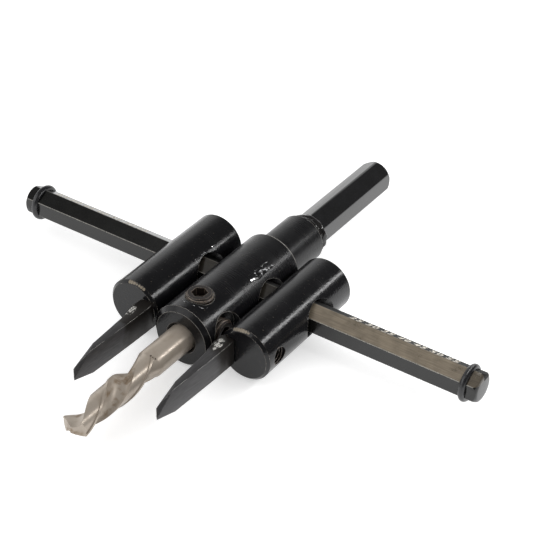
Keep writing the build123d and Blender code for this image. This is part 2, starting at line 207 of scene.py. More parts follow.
def add(tree, kind, *values, **named):
    """Adds a node and returns its first output in use, or the node itself if it has none.

    Values fill the inputs in use, in order. A name with a capital is an input, with _
    for each space, and a name without is a property. A socket as a value makes a link.
    A kind may end in a dot and its operation or type of data.
    """
    kind, *variants = kind.split(".")
    node = tree.nodes.new(kind)
    for variant in variants:
        setattr(node, "operation" if hasattr(node, "operation") else "data_type", variant)
    for key, value in named.items():
        if key.islower():
            setattr(node, key, value)
    filled = list(zip((socket for socket in node.inputs if socket.enabled), values))
    capitals = [key for key in named if not key.islower()]
    filled += [(node.inputs[key.replace("_", " ")], named[key]) for key in capitals]
    for socket, value in filled:
        if isinstance(value, bpy.types.NodeSocket):
            tree.links.new(value, socket)
        else:
            socket.default_value = value
    return next((socket for socket in node.outputs if socket.enabled), node)


def blank_material(name):
    """Empty material, and the function that adds a node to it."""
    material = bpy.data.materials.new(name)
    material.use_nodes = True
    material.node_tree.nodes.clear()
    return material, partial(add, material.node_tree)


def shaded(material, **sockets):
    """The material with its shader, whose inputs are given by name."""
    shader = add(material.node_tree, "ShaderNodeBsdfPrincipled", **sockets)
    add(material.node_tree, "ShaderNodeOutputMaterial", Surface=shader)
    return material


def piece_space(new, x=0.0):
    """Position in mm from the tool axis, or from a parallel axis at x."""
    centre = (-x, -AXIS.y / MM, -AXIS.z / MM)
    position = new(COORDINATES).node.outputs["Object"]
    return new("ShaderNodeMapping", position, Location=centre, Scale=(1 / MM,) * 3)


def turned_space(new, position):
    """Radius from the tool axis and place along it, so that lines run round a turned piece."""
    flat = new(STRETCH, position, (1, 0, 1))
    radius = new(LENGTH, flat)
    return new(JOIN, radius, new(SPLIT, position).node.outputs["Y"])


def edge_normal(new, radius, low, high):
    """Normal rounded over edges within a radius in mm, and a mask of those edges."""
    rounded = new("ShaderNodeBevel", radius * MM, samples=6)
    true_normal = new("ShaderNodeNewGeometry").node.outputs["Normal"]
    alike = new(ALIKE, rounded, true_normal)
    return rounded, new(RANGE, alike, 1 - low, 1 - high)


def spot_mask(new, position, spots, raggedness):
    """1 inside any round spot (centre, radius) in mm, with an edge made ragged by a noise."""
    total = 0.0
    for centre, radius in spots:
        distance = new(DISTANCE, position, centre)
        uneven = new(MULTIPLY_ADD, raggedness, radius * 3, distance)
        inside = new(RANGE, uneven, radius * 2.5, radius * 2.2)
        total = new(MAXIMUM, total, inside)
    return total


# Materials


def blackened_turned_steel(name, x, spots, dull_from=None, highlight_rims=()):
    """Black oxide sealed with oil over a lathe-turned face.

    The oil gives a sharp sheen over a deep black, the feed of the lathe shows as faint
    rings, and edges that rub are bare and duller, in a light grey that is also a painted
    highlight line along them; rubbed spots are brownish. With `dull_from`, the heat of
    brazing has burnt the oil away behind that place. `highlight_rims` are (radius, place)
    of rims with a painted highlight line most of the way round.
    """
    material, new = blank_material(name)
    palette = colours()
    position = piece_space(new, x)
    rings = turned_space(new, position)
    # Lathe feed of 0.35 mm, drawn coarse enough to show
    feed = new(NOISE, rings, 1 / 0.35, 2.0)
    # Oil film in patches of about 5 mm
    film = new(NOISE, position, 1 / 5, 5.0)
    # Dust, small nicks and grain of 0.5 mm; the grain also breaks up the painted highlight lines on the edges
    grain = new(NOISE, position, 1 / 0.5, 4.0)
    rounded, edge = edge_normal(new, 0.25, 0.01, 0.07)
    rim_limit = 0.42 if dull_from is None else 0.3
    patchy = new(RANGE, film, rim_limit, rim_limit + 0.13)
    chipped_and_highlit = new(RANGE, grain, rim_limit - 0.02, rim_limit + 0.14)
    # Edges where the black has rubbed off, in a light grey that is also a painted highlight line along them
    some_edges = new(MULTIPLY, edge, patchy)
    broken_and_highlit_edges = new(MULTIPLY, some_edges, chipped_and_highlit)
    # A painted highlight line most of the way round each listed rim
    painted_rim_highlights = spot_mask(new, rings, highlight_rims, film)
    bare_and_highlit_edges = new(MAXIMUM, broken_and_highlit_edges, painted_rim_highlights)
    thin = new(RANGE, grain, 0.3, 0.6, 0.6)
    rubbed = new(MULTIPLY, spot_mask(new, position, spots, film), thin)
    # Rubbed spots together with the bare edges and their painted highlight lines
    worn = new(MAXIMUM, bare_and_highlit_edges, rubbed)
    dust = new(RANGE, grain, 0.68, 0.74, 0.0, 0.3)
    marked = new(MAXIMUM, worn, dust)
    # Light grey on edges and rims, bare steel and painted highlight in one; tan on rubbed spots and dust
    bare = new(BLEND, bare_and_highlit_edges, palette.rubbed_edge, linear("#a3a19c"))
    gloss = new(RANGE, film, 0.35, 0.65, 0.02, 0.13)
    if dull_from is not None:
        along = new(SPLIT, position).node.outputs["Y"]
        burnt = new(RANGE, along, dull_from, dull_from + 18, 0.0, 0.12)
        gloss = new(ADD, gloss, burnt)
    ringed = new(MULTIPLY_ADD, feed, 0.22, gloss)
    uneven = new(MULTIPLY_ADD, grain, 3.0, feed)
    return shaded(
        material,
        Base_Color=new(BLEND, marked, palette.black_finish, bare),
        Roughness=new(MULTIPLY_ADD, marked, 0.2, ringed),
        Normal=new(BUMP, Height=uneven, Strength=0.8, Distance=0.016 * MM, Normal=rounded),
        IOR=1.45 if dull_from is None else 1.4,
    )


def drawn_hexagon_steel(name, base, rubbed_and_lit_corner_colour, corner_radius, across, patina=None):
    """Cold-drawn hexagon bar under black oxide.

    Faint draw lines run along the bar, the skin is satin and uneven in tone, and its
    corners carry a thin light line, rubbed steel and painted highlight in one. `across`
    picks the plane square to the bar.
    A patina, if given, covers the near upper flat on the right with a dull brown bloom.
    """
    material, new = blank_material(name)
    position = piece_space(new)
    # Draw lines 0.3 mm apart, stretched twentyfold along the bar
    stretch = tuple(1.0 if part else 0.05 for part in across)
    lines = new(STRETCH, position, stretch)
    drawn = new(NOISE, lines, 1 / 0.3, 3.0)
    # Oxide tone in patches of about 4 mm with a fine grain of 0.3 mm in them
    tone = new(NOISE, position, 1 / 4, 6.0)
    grain = new(NOISE, position, 1 / 0.3, 2.0)
    # The corners get a light line, rubbed steel and painted highlight in one
    square = new(STRETCH, position, across)
    radius = new(LENGTH, square)
    uneven = new(MULTIPLY_ADD, grain, 0.1, radius)
    corner = new(RANGE, uneven, corner_radius, corner_radius + 0.08)
    shade = new(RANGE, tone, 0.3, 0.7, 0.7, 1.3)
    skin = new(SCALE, base[:3], shade)
    gloss = new(RANGE, grain, 0.3, 0.7, 0.1, 0.2)
    if patina:
        place = new(SPLIT, position).node.outputs
        upper = new(RANGE, place["Z"], 2.3, 2.4)
        near = new(RANGE, place["Y"], 0.1, -0.1)
        # The bloom is thin between the posts, full on the right arm, less on its knob
        thick = new(RANGE, tone, 0.25, 0.6, 0.6, 1.0)
        right_arm = new(RANGE, place["X"], 20.0, 25.0, 0.12)
        not_left = new(RANGE, place["X"], -25.0, -20.0)
        knob = new(RANGE, place["X"], 71.6, 73.5, 1.0, 0.45)
        bloom = upper
        for share in (near, thick, right_arm, not_left, knob):
            bloom = new(MULTIPLY, bloom, share)
        streaked = new(RANGE, drawn, 0.3, 0.7, 0.75, 1.25)
        dusty = new(SCALE, patina[:3], streaked)
        skin = new(BLEND, bloom, skin, dusty)
        gloss = new(MULTIPLY_ADD, bloom, 0.2, gloss)
        # The far upper flat is etched matt under the scale, on the left arm it has kept its gloss
        far = new(SUBTRACT, upper, near)
        etched = new(MAXIMUM, far, 0.0)
        matt = new(RANGE, place["X"], -10.0, 10.0, 0.0, 0.6)
        gloss = new(MULTIPLY_ADD, etched, matt, gloss)
        # The side corners keep the light line of rubbed steel and painted highlight, the top corner keeps
        # under a third of it
        low = new(RANGE, place["Z"], 3.6, 4.2, 1.0, 0.3)
        corner = new(MULTIPLY, corner, low)
    return shaded(
        material,
        Base_Color=new(BLEND, corner, skin, rubbed_and_lit_corner_colour),
        Roughness=gloss,
        Normal=new(BUMP, Height=drawn, Strength=0.4, Distance=0.01 * MM),
        IOR=1.5 if patina else 1.65,
    )


def fluxed_braze():
    """Brass braze under burnt flux: a lumpy, glassy black skin with sharp glints."""
    material, new = blank_material("Fluxed braze")
    # Flux blisters of 1.2 mm
    lumps = new(NOISE, piece_space(new), 1 / 1.2, 2.0)
    return shaded(
        material,
        Base_Color=new(BLEND, lumps, linear("#0b0b0c"), linear("#221f1e")),
        Normal=new(BUMP, Height=lumps, Strength=0.5, Distance=0.12 * MM),
        Roughness=0.1,
        IOR=1.6,
    )


def ground_tool_steel(name, x, root_y, chips_and_glints):
    """Hardened tool steel with ground flats: grey, with fine grinding lines along it.

    Toward the root, where the cutter enters its post, it turns brown-black, with a soft
    uneven border. Its edges and chip spots are near white, bare steel with painted
    highlights and glints.
    """
    material, new = blank_material(name)
    position = piece_space(new, x)
    # Grinding lines 0.35 mm apart, stretched twelvefold along the cutter
    lines = new(STRETCH, position, (1, 0.08, 1))
    ground = new(NOISE, lines, 1 / 0.35, 3.0)
    # Tone in patches of about 3 mm
    tone = new(NOISE, position, 1 / 3, 5.0)
    rounded, edge = edge_normal(new, 0.12, 0.01, 0.06)
    along = new(SPLIT, position).node.outputs["Y"]
    # Brown-black toward the root, where the cutter enters its post
    wavy = new(MULTIPLY_ADD, tone, 6.0, along)
    darker_root = new(RANGE, wavy, root_y + 2.4, root_y + 4.6)
    streaks = new(RANGE, ground, 0.3, 0.7, 0.75, 1.25)
    grey = new(SCALE, colours().cutter_grey[:3], streaks)
    skin = new(BLEND, darker_root, grey, linear("#1f1b18"))
    # Edges in near white where nicked, bare steel and painted highlight in one
    nicked_and_highlit = new(RANGE, tone, 0.42, 0.6)
    edges = new(MULTIPLY, edge, nicked_and_highlit)
    # Torn grains of 0.25 mm in the chip spots; the brightest of them are painted glints
    torn = new(NOISE, position, 1 / 0.25, 2.0)
    glints = new(RANGE, torn, 0.42, 0.52)
    chipped_and_highlit = new(MULTIPLY, spot_mask(new, position, chips_and_glints, ground), glints)
    # Near white on edges and chip spots: bare steel with painted highlights and glints
    bright = new(MAXIMUM, edges, chipped_and_highlit)
    return shaded(
        material,
        Base_Color=new(BLEND, bright, skin, linear("#dedcd6")),
        Normal=new(BUMP, Height=ground, Strength=0.3, Distance=0.01 * MM, Normal=rounded),
        Roughness=0.42,
        Metallic=0.35,
    )


def bright_high_speed_steel():
    """Bright ground high-speed steel: warm, with a soft highlight along the drill.

    Cutting oil has dried brown in the flutes, and the ground land keeps fine rings.
    """
    material, new = blank_material("Bright high-speed steel")
    position = piece_space(new)
    rings = turned_space(new, position)
    # Grinding rings of 0.25 mm on the round land
    ground = new(NOISE, rings, 1 / 0.25, 2.0)
    # Oil stains in patches of 2.5 mm
    stain = new(NOISE, position, 1 / 2.5, 5.0)
    in_flute = new(RANGE, new(SPLIT, rings), 3.5, 2.2)
    blotched = new(RANGE, stain, 0.48, 0.68)
    oily = new(MULTIPLY, in_flute, blotched)
    light_stain = new(MULTIPLY_ADD, blotched, 0.25, oily)
    oiled = new(BLEND, light_stain, colours().drill_steel, linear("#8a7864"))
    # Short dark nick across the land
    nick_line = [((1.1, -43.7, 3.82), 0.34), ((1.75, -43.75, 3.58), 0.4), ((2.4, -43.4, 3.2), 0.3)]
    nick = spot_mask(new, position, nick_line, stain)
    satin = new(RANGE, stain, 0.3, 0.7, 0.28, 0.38)
    return shaded(
        material,
        Base_Color=new(BLEND, nick, oiled, linear("#3d3229")),
        Roughness=new(MULTIPLY_ADD, in_flute, 0.14, satin),
        Normal=new(BUMP, Height=ground, Strength=0.25, Distance=0.01 * MM),
        Metallic=0.4,
    )


def oxide_screw_steel():
    """Rolled and quenched alloy steel of grub screws: brown-black, satin, finely grained."""
    material, new = blank_material("Oxide screw steel")
    # Scale from quenching, grains of 0.4 mm
    scale = new(NOISE, piece_space(new), 1 / 0.4, 4.0)
    rounded, edge = edge_normal(new, 0.18, 0.01, 0.08)
    worn = new(RANGE, scale, 0.34, 0.52)
    bright = new(MULTIPLY, edge, worn)
    return shaded(
        material,
        Base_Color=new(BLEND, bright, colours().screw_brown, linear("#96887a")),
        Normal=new(BUMP, Height=scale, Strength=0.4, Distance=0.02 * MM, Normal=rounded),
        Roughness=0.3,
        IOR=1.45,
    )


def torn_burr_steel():
    """Torn metal of a burr: blackened in its folds, bare and glinting on its tips."""
    material, new = blank_material("Torn burr steel")
    # Folds of 0.9 mm
    folds = new(NOISE, piece_space(new), 1 / 0.9, 1.0)
    bare = new(RANGE, folds, 0.54, 0.6)
    return shaded(
        material,
        Base_Color=new(BLEND, bare, linear("#0f0f10"), linear("#dadadc")),
        Metallic=bare,
        Normal=new(BUMP, Height=folds, Strength=0.4, Distance=0.05 * MM),
        Roughness=0.22,
    )


def black_spring_wire():
    """Oiled spring wire: smooth black with a soft grey highlight round each ring."""
    material, new = blank_material("Black spring wire")
    # Drawing marks of 0.4 mm
    marks = new(NOISE, piece_space(new), 1 / 0.4, 3.0)
    return shaded(
        material,
        Base_Color=new(BLEND, marks, linear("#0b0b0d"), linear("#1b1b1e")),
        Roughness=new(RANGE, marks, 0.3, 0.7, 0.22, 0.36),
        IOR=1.6,
    )


def scale_filling():
    """Stamped marks filled with chalky white, partly worn away."""
    material, new = blank_material("Worn scale filling")
    palette = colours()
    # Wear in patches of 0.7 mm
    wear = new(NOISE, piece_space(new), 1 / 0.7, 3.0)
    gone = new(RANGE, wear, 0.56, 0.62)
    return shaded(
        material,
        Base_Color=new(BLEND, gone, palette.scale_white, palette.bar_bloom),
        Roughness=0.6,
    )


def white_sweep():
    """Matt white studio sweep. It looks white to the camera and in gloss, and keeps soft shadows."""
    material, new = blank_material("White studio sweep")
    # Paper tooth, drawn at 4 mm
    tooth = new(NOISE, new(COORDINATES).node.outputs["Object"], 1 / 0.004, 2.0)
    path = new(PATH).node.outputs
    seen = new(MAXIMUM, path["Is Camera Ray"], path["Is Glossy Ray"])
    through = new(MAXIMUM, seen, path["Is Transmission Ray"])
    return shaded(
        material,
        Normal=new(BUMP, Height=tooth, Strength=0.05, Distance=0.1 * MM),
        Emission_Strength=new(MULTIPLY, through, 0.5),
        Base_Color=(0.8, 0.8, 0.8, 1),
        Emission_Color=(1, 1, 1, 1),
        Roughness=0.9,
        Specular_IOR_Level=0.0,
    )


def finish_named(name, make):
    """The material of that name, made on first use."""
    return bpy.data.materials.get(name) or make()


# Mesh shapes in mm


def hexagon(flats, corner_round=0.0):
    """Corners of a hexagon that stands on a corner, each rounded by an arc if asked."""
    reach, steps = flats / sqrt(3), 5
    points = []
    for corner in range(6):
        angle = pi / 2 + corner * pi / 3
        if not corner_round:
            points.append((reach * cos(angle), reach * sin(angle)))
            continue
        inner = reach - corner_round * 2 / sqrt(3)
        for step in range(steps + 1):
            turn = angle - pi / 6 + step / steps * pi / 3
            x = inner * cos(angle) + corner_round * cos(turn)
            y = inner * sin(angle) + corner_round * sin(turn)
            points.append((x, y))
    return points


def placed(axis, u, v, w):
    """Point with u and v square to an axis and w along it."""
    return {"X": (w, u, v), "Y": (u, w, v), "Z": (u, v, w)}[axis]


def closed_rings(rings, axis):
    """Joins rings (points square to the axis, place along it) into one closed solid."""
    shape = bmesh.new()
    loops = [[shape.verts.new(placed(axis, u, v, w)) for u, v in points] for points, w in rings]
    for first, second in zip(loops, loops[1:]):
        for i in range(len(first)):
            j = (i + 1) % len(first)
            shape.faces.new((first[i], first[j], second[j], second[i]))
    shape.faces.new(loops[0])
    shape.faces.new(loops[-1])
    bmesh.ops.recalc_face_normals(shape, faces=shape.faces)
    return shape


def turned(profile, axis="Y", steps=180):
    """Solid turned about an axis from (radius, place) corners."""
    turns = [2 * pi * i / steps for i in range(steps)]
    rings = []
    for radius, place in profile:
        rings.append(([(radius * cos(turn), radius * sin(turn)) for turn in turns], place))
    return closed_rings(rings, axis)


def prism(outline, low, high, axis):
    """Solid with one outline from low to high along an axis."""
    return closed_rings([(outline, low), (outline, high)], axis)


def block(low, high):
    """Box between two corners."""
    outline = [(low[0], low[2]), (high[0], low[2]), (high[0], high[2]), (low[0], high[2])]
    return prism(outline, low[1], high[1], "Y")


def shifted(shape, x, y, z):
    """The shape moved by a distance."""
    bmesh.ops.translate(shape, verts=shape.verts, vec=(x, y, z))
    return shape


def shown(name, data):
    """Object of some data, linked to the scene."""
    made = bpy.data.objects.new(name, data)
    bpy.context.scene.collection.objects.link(made)
    return made


def as_mesh(shape, name="working shape"):
    """Mesh of a shape, which is freed."""
    mesh = bpy.data.meshes.new(name)
    shape.to_mesh(mesh)
    shape.free()
    return mesh


def as_shape(mesh):
    """Shape of a mesh, which is removed."""
    shape = bmesh.new()
    shape.from_mesh(mesh)
    bpy.data.meshes.remove(mesh)
    return shape


def modified(data, *modifiers):
    """Mesh of some data after modifiers (kind, settings), in place of the data."""
    made = shown("working shape", data)
    for kind, settings in modifiers:
        modifier = made.modifiers.new(kind, kind)
        for key, value in settings.items():
            if hasattr(modifier, key):
                setattr(modifier, key, value)
            else:
                modifier[key] = value
    graph = bpy.context.evaluated_depsgraph_get()
    mesh = bpy.data.meshes.new_from_object(made.evaluated_get(graph))
    bpy.data.batch_remove([made, data])
    return mesh


def combined(base, tools, operation="DIFFERENCE"):
    """The base shape after each of the other shapes has been taken away or met."""
    others = [shown("working shape", as_mesh(tool)) for tool in tools]
    cuts = [("BOOLEAN", {"operation": operation, "solver": "EXACT", "object": other}) for other in others]
    shape = as_shape(modified(as_mesh(base), *cuts))
    bpy.data.batch_remove([part for other in others for part in (other, other.data)])
    bmesh.ops.remove_doubles(shape, verts=shape.verts, dist=1e-4)
    return shape


def joined(*shapes):
    """One shape that holds all of the shapes."""
    total = bmesh.new()
    meshes = [as_mesh(shape) for shape in shapes]
    for mesh in meshes:
        total.from_mesh(mesh)
    bpy.data.batch_remove(meshes)
    return total


def turned_to(shape, direction, base):
    """Turns a shape drawn along Z so that it runs along a direction from a base point."""
    turn = Vector(direction).to_track_quat("Z", "Y").to_matrix().to_4x4()
    bmesh.ops.transform(shape, matrix=Matrix.Translation(base) @ turn, verts=shape.verts)


def dress(shape, name, body, replaced, material, sharp=30):
    """Puts a shape in place as a finished piece that rides on a body."""
    bmesh.ops.transform(shape, matrix=IN_PLACE, verts=shape.verts)
    dress_mesh(as_mesh(shape), name, body, replaced, material, sharp)


def dress_mesh(mesh, name, body, replaced, material, sharp=30):
    """Makes a piece of a mesh that is already in place."""
    mesh.name = name
    mesh.materials.clear()
    mesh.materials.append(material)
    mesh.shade_smooth()
    mesh.set_sharp_from_angle(angle=radians(sharp))
    piece = shown(name, mesh)
    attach(piece, body)
    if replaced:
        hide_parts(*replaced)


# Geometry Nodes


def new_tree(name, **defaults):
    """Geometry tree with named inputs that have these defaults, and its inputs by name."""
    tree = bpy.data.node_groups.new(name, "GeometryNodeTree")
    sockets = tree.interface
    sockets.new_socket(name="Geometry", in_out="OUTPUT", socket_type="NodeSocketGeometry")
    sockets.new_socket(name="Geometry", in_out="INPUT", socket_type="NodeSocketGeometry")
    for label, default in defaults.items():
        kind = "NodeSocketInt" if isinstance(default, int) else "NodeSocketFloat"
        sockets.new_socket(name=label, in_out="INPUT", socket_type=kind).default_value = default
    sockets.new_socket(name="Material", in_out="INPUT", socket_type="NodeSocketMaterial")
    return partial(add, tree), add(tree, "NodeGroupInput").node.outputs


def close_tree(new, geometry, given):
    """Ends a tree in Realize Instances and Set Material."""
    real = new("GeometryNodeRealizeInstances", geometry)
    new("NodeGroupOutput", new("GeometryNodeSetMaterial", real, Material=given["Material"]))


def thread_tree(name):
    """A round ridge wound as a helix about Z: the crest of a screw thread, or of a tapped hole."""
    new, given = new_tree(name, Radius=4.0, Pitch=1.25, Turns=4.0, Ridge=0.3)
    height = new(MULTIPLY, given["Pitch"], given["Turns"])
    helix = new(
        "GeometryNodeCurveSpiral", Resolution=40, Rotations=given["Turns"],
        Start_Radius=given["Radius"], End_Radius=given["Radius"], Height=height,
    )
    section = new(CIRCLE, Resolution=8, Radius=given["Ridge"])
    close_tree(new, new(SWEEP, helix, section, Fill_Caps=True), given)


def ring_tree(name):
    """A split ring of round wire: an arc about Z with a round section and closed ends."""
    new, given = new_tree(name, Radius=4.4, Wire=1.0, Start=0.0, Sweep=6.0)
    arc = new(
        "GeometryNodeCurveArc", Resolution=96, Radius=given["Radius"],
        Start_Angle=given["Start"], Sweep_Angle=given["Sweep"],
    )
    section = new(CIRCLE, Resolution=28, Radius=given["Wire"])
    close_tree(new, new(SWEEP, arc, section, Fill_Caps=True), given)


def twist_tree(name):
    """Winds a straight fluted bar about the Y axis by one turn for each lead, as far as it is fluted."""
    new, given = new_tree(name, Lead=41.0, Hand=-1.0, Tip=0.0, Fluted=32.5)
    place = new("GeometryNodeInputPosition")
    angle = new(SPLIT, place).node.outputs["Y"]
    for operation, amount in (
        (SUBTRACT, given["Tip"]), (MINIMUM, given["Fluted"]), (DIVIDE, given["Lead"]),
        (MULTIPLY, given["Hand"]), (MULTIPLY, 2 * pi),
    ):
        angle = new(operation, angle, amount)
    wound = new(
        "ShaderNodeVectorRotate", Vector=place, Axis=(0, 1, 0), Angle=angle, rotation_type="AXIS_ANGLE"
    )
    close_tree(new, new(PLACE, given["Geometry"], Position=wound), given)


def burr_tree(name):
    """Raised, torn edge of metal along a path of edges."""
    new, given = new_tree(name, Height=0.3, Step=0.35, Scatter=0.12, Seed=1)
    path = new("GeometryNodeMeshToCurve", given["Geometry"])
    fine = new("GeometryNodeResampleCurve", Curve=path, Length=given["Step"], mode="LENGTH")
    push = new(RANDOM + "FLOAT_VECTOR", (-1, -1, -1), (1, 1, 1), Seed=given["Seed"])
    aside = new(SCALE, push, given["Scatter"])
    ragged = new(PLACE, fine, Offset=aside)
    size = new(RANDOM + "FLOAT", 0.4, 1.3, Seed=given["Seed"])
    uneven = new("GeometryNodeSetCurveRadius", ragged, Radius=size)
    section = new(CIRCLE, Resolution=5, Radius=given["Height"])
    close_tree(new, new(SWEEP, uneven, section, Fill_Caps=True), given)


def tick_tree(name):
    """A row of thin ticks along X, some of them worn away."""
    new, given = new_tree(
        name, Count=20, Spacing=2.5, Width=0.25, Length=1.0, Thickness=0.04, Kept=0.8, Seed=4
    )
    step = new(JOIN, given["Spacing"])
    row = new("GeometryNodeMeshLine", Count=given["Count"], Offset=step, mode="OFFSET")
    tick = new("GeometryNodeMeshCube", new(JOIN, given["Width"], given["Length"], given["Thickness"]))
    kept = new(RANDOM + "BOOLEAN", Probability=given["Kept"], Seed=given["Seed"])
    close_tree(new, new("GeometryNodeInstanceOnPoints", row, Instance=tick, Selection=kept), given)


TREES = {
    "Thread helix": thread_tree, "Split wire ring": ring_tree, "Flute helix": twist_tree,
    "Torn burr": burr_tree, "Scale ticks": tick_tree,
}


def grown(name, base=None, **values):
    """Shape in mm that the geometry tree of that name makes with these inputs, made on first use."""
    if name not in bpy.data.node_groups:
        TREES[name](name)
    tree = bpy.data.node_groups[name]
    settings = {"node_group": tree}
    for item in tree.interface.items_tree:
        if item.in_out == "INPUT" and item.name in values:
            settings[item.identifier] = values[item.name]
    return as_shape(modified(as_mesh(base or bmesh.new()), ("NODES", settings)))


# Shapes of the pieces


def hex_mouth(flats, rim_radius, inner_x, rim_x, side):
    """Flared mouth of a hexagon hole, from its throat at inner_x to its rim at rim_x."""
    throat = flats / 2
    slope = (rim_radius - throat) / (rim_x - inner_x)
    inner, outer = side * inner_x, side * (rim_x + 1)
    profile = [(throat * CAP, inner), (throat, inner), (rim_radius + slope, outer), (throat * CAP, outer)]
    return turned(profile, "X")


def cross_hole(flats, slack, mouth_radius, throat_x, radius):
    """Hexagon hole for the bar through a round piece, and its two flared mouths."""
    hole = prism(hexagon(flats + slack), -radius - 1, radius + 1, "X")
    return [hole] + [hex_mouth(flats, mouth_radius, throat_x, radius, side) for side in (-1, 1)]


def hub_shape(size):
    """Hub and collar in one, with bore, cross hole, screw holes and spigot socket."""
    radius, front, rear = size.hub_radius, size.hub_front, size.hub_rear
    chamfer, collar, end = size.hub_chamfer, size.collar_radius, size.collar_end
    bore, sink, throat_x = size.drill_radius + TURNING_GAP, 6.1, 5.2
    spigot, spigot_front = 4.53, 18.1
    body = turned(
        [
            (radius * CAP, front), (radius - chamfer, front), (radius, front + chamfer),
            (radius, rear - 0.5), (radius - 0.5, rear), (collar, rear), (collar, end - 0.7),
            (collar - 0.7, end), (collar * CAP, end),
        ],
        steps=240,
    )
    top_hole = turned([(bore, 0), (bore, radius + 2)], "Z", steps=96)
    side_hole = turned(
        [(bore, 0), (bore, radius - 3.6), (sink, radius - 2.4), (sink, radius + 1), (bore * CAP, radius + 1)],
        "X", steps=96,
    )
    tools = [
        turned([(bore + 1.8, front - 1), (bore, front + 0.8), (bore, 0), (bore * CAP, 0)], steps=96),
        shifted(top_hole, 0, PILOT_SCREW_Y, 0),
        shifted(side_hole, 0, PILOT_SCREW_Y, 0),
        *cross_hole(size.bar_flats, 0.0, size.mouth_radius, throat_x, radius),
        turned([(spigot, spigot_front), (spigot, end + 1)], steps=96),
    ]
    return combined(body, tools)


def post_shape(size, sign):
    """Post with bar hole, cutter pocket and tapped holes; the pocket faces the hub."""
    radius, front, rear, chamfer = size.post_radius, size.post_front, size.post_rear, 0.8
    body = turned(
        [
            (radius * CAP, front), (radius - chamfer, front), (radius, front + chamfer),
            (radius, rear - chamfer), (radius - chamfer, rear), (radius * CAP, rear),
        ],
        steps=240,
    )
    slack, mouth_radius, throat_x = 0.16, size.mouth_radius + 0.3, 3.4
    pocket_x, pocket_end, half_width, half_height = -sign * CUTTER_INSET, -8.7, 1.6, 3.9
    near = (pocket_x - half_width, front - 1, -half_height)
    side_hole = turned([(M5_HOLE, x) for x in sorted((pocket_x, sign * (radius + 1)))], "X", steps=72)
    tools = [
        *cross_hole(size.bar_flats, slack, mouth_radius, throat_x, radius),
        block(near, (pocket_x + half_width, pocket_end, half_height)),
        shifted(side_hole, 0, CUTTER_SCREW_Y, 0),
        turned([(M8_HOLE, 0), (M8_HOLE, rear + 1)], steps=96),
    ]
    return combined(body, tools)


def shank_shape(size):
    """Hexagon shank with rounded corners and a crowned end, and its spigot."""
    foot, end = size.collar_end + size.bead_length, size.shank_end
    reach, crown = size.shank_flats / sqrt(3), 2.4
    profile = [(reach * CAP, foot - 1), (reach + 1, foot - 1), (reach + 1, end - crown - 1)]
    for step in range(13):
        turn = step / 12 * pi / 2
        profile.append((reach - crown * (1 - cos(turn)), end - crown * (1 - sin(turn))))
    profile.append((reach * 0.2, end))
    bar = prism(hexagon(size.shank_flats, 0.9), foot - 0.6, end, "Y")
    return combined(bar, [turned(profile)], "INTERSECT")


def bead_shape(size):
    """Lumpy braze bead: it bulges over the collar edge and hugs the hexagon flats."""
    foot, run, flat = size.collar_end, size.bead_length, size.shank_flats / 2
    steps, rows = 144, 26
    # Radii: the rounded corners of the hexagon, and what the bead keeps to
    corners, least, base, most = 5.36, 5.42, 5.55, 6.62

    def inner(angle):
        """Radius of the hexagon at an angle."""
        turn = (angle + pi / 6) % (pi / 3) - pi / 6
        return min(flat / cos(turn), corners) - 0.05

    def outer(angle, share):
        """Radius of the bead at an angle and a share of its length: two mounds with lumps."""
        near_side = 0.5 + 0.5 * cos(angle - radians(15))
        first = 0.9 * sin(pi * min(1.0, (share + 0.12) / 0.55))
        second = 0.95 * sin(pi * min(1.0, max(0.0, (share - 0.4) / 0.55)))
        lump = noise.noise(Vector((2.2 * cos(angle), 2.2 * sin(angle), share * 2.0 + 4.0)))
        small = noise.noise(Vector((5.5 * cos(angle), 5.5 * sin(angle), share * 6.0)))
        mound = (0.4 + 0.6 * near_side) * max(first, second, 0.15)
        return max(least, min(base + mound + 0.45 * lump + 0.2 * small, most))

    rings = []
    for row in range(rows + 1):
        share = row / rows
        close = max(0.0, (share - 0.86) / 0.14)
        points = []
        for i in range(steps):
            angle = 2 * pi * i / steps
            wall = outer(angle, share)
            radius = wall + (inner(angle) - wall) * close ** 2
            points.append((radius * cos(angle), radius * sin(angle)))
        rings.append((points, foot + 0.02 + share * (run - 0.04)))
    return closed_rings(rings, "Y")


def bar_shape(size):
    """Hexagon cross bar with rounded corners, ring grooves and domed ends."""
    half, reach, dome, dome_radius = size.bar_half, size.bar_flats / sqrt(3), 1.5, 3.0
    groove, half_width, groove_radius = half - RING_INSET, 1.05, 3.4
    profile = []
    for step in range(9):
        turn = step / 8 * pi / 2
        profile.append((dome_radius + (reach - dome_radius) * sin(turn), half - dome * (1 - cos(turn))))
    profile += [
        (reach + 0.5, half - 1.6), (reach + 0.5, groove + half_width),
        (groove_radius, groove + half_width), (groove_radius, groove - half_width),
        (reach + 0.5, groove - half_width),
    ]
    mirrored = [(radius, -place) for radius, place in reversed(profile)]
    ends = [(1.0, half)] + profile + mirrored + [(1.0, -half)]
    bar = prism(hexagon(size.bar_flats, 0.3), -half - 1, half + 1, "X")
    return combined(bar, [turned(ends, "X", steps=120)], "INTERSECT")


def ring_shape(size, side, material):
    """Split wire ring in its groove, with the gap underneath."""
    radius, wire, gap = 4.4, 0.99, 1.6
    half_gap = math.asin((gap / 2 + 0.02) / radius)
    shape = grown(
        "Split wire ring", Radius=radius, Wire=wire, Start=-pi / 2 + half_gap, Sweep=2 * pi - 2 * half_gap,
        Material=material,
    )
    turn = Matrix(((0, 0, 1), (1, 0, 0), (0, 1, 0))).to_4x4()
    bmesh.ops.transform(shape, matrix=turn, verts=shape.verts)
    return shifted(shape, SIGN[side] * (size.bar_half - RING_INSET), 0, 0)


